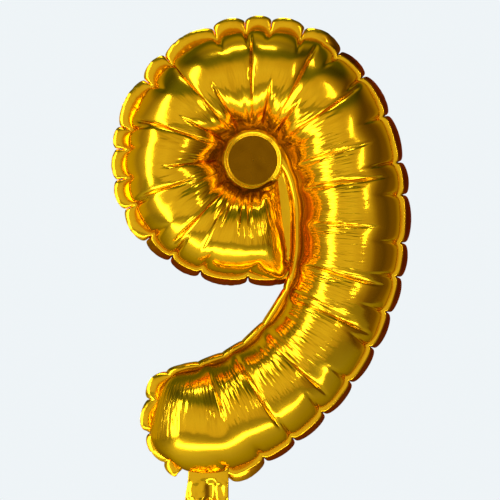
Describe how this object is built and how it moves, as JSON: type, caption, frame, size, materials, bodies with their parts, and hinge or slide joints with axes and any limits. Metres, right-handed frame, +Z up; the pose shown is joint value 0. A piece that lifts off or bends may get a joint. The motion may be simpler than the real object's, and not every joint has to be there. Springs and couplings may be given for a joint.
{
  "type": "foil number balloon",
  "caption": "Inflated gold foil balloon in the shape of a nine, with a puckered weld seam, a closed eye and a flat neck with a self-closing valve.",
  "frame": {"origin": "the back of the ring's top, on the line through the middle of the eye, where an adhesive dot holds the balloon to a wall", "axes": "+Z up the nine, +X to the right of the nine as it is read, +Y out of its back towards the wall"},
  "size_m": [0.2218, 0.0701, 0.3894],
  "materials": {
    "gold_foil": "polished",
    "weld_band": "gloss",
    "valve_film": "gloss",
    "release_print": "matte"
  },
  "bodies": {
    "envelope": {"front_panel": "gold_foil", "back_panel": "gold_foil", "outer_rim_seam": "weld_band", "tail_rim_seam": "weld_band", "crook_seam": "weld_band", "eye_seam": "weld_band", "eye_web": "weld_band", "slit_seam": "weld_band", "throat_front_film": "gold_foil", "throat_back_film": "gold_foil", "throat_valve_front_film": "valve_film", "throat_valve_back_film": "valve_film"},
    "neck": {"neck_front_film": "gold_foil", "neck_back_film": "gold_foil", "neck_left_weld": "weld_band", "neck_right_weld": "weld_band", "valve_front_film": "valve_film", "valve_back_film": "valve_film", "valve_release_print": "release_print"},
    "neck_tail": {"tail_front_film": "gold_foil", "tail_back_film": "gold_foil", "tail_left_weld": "weld_band", "tail_right_weld": "weld_band", "tail_valve_front_film": "valve_film", "tail_valve_back_film": "valve_film"},
    "front_lip": {"valve_front_lip": "valve_film"},
    "back_lip": {"valve_back_lip": "valve_film"}
  },
  "joints": [
    {"name": "neck_fold", "type": "hinge", "parent": "envelope", "child": "neck", "pos_m": [-0.033, -0.03503, -0.29533], "axis": [1, 0, 0], "range_deg": [-90, 90]},
    {"name": "neck_tail_fold", "type": "hinge", "parent": "neck", "child": "neck_tail", "pos_m": [-0.033, -0.03503, -0.31813], "axis": [-1, 0, 0], "range_deg": [-60, 60]},
    {"name": "front_lip_open", "type": "hinge", "parent": "envelope", "child": "front_lip", "pos_m": [-0.033, -0.0352, -0.28693], "axis": [1, 0, 0], "range_deg": [0, 12], "stiffness_Nm_per_rad": 0.00005},
    {"name": "back_lip_open", "type": "hinge", "parent": "envelope", "child": "back_lip", "pos_m": [-0.033, -0.03486, -0.28693], "axis": [1, 0, 0], "range_deg": [-12, 0], "stiffness_Nm_per_rad": 0.00005}
  ],
  "couplings": [
    {"joint": "back_lip_open", "follows": "front_lip_open", "ratio": -1}
  ]
}
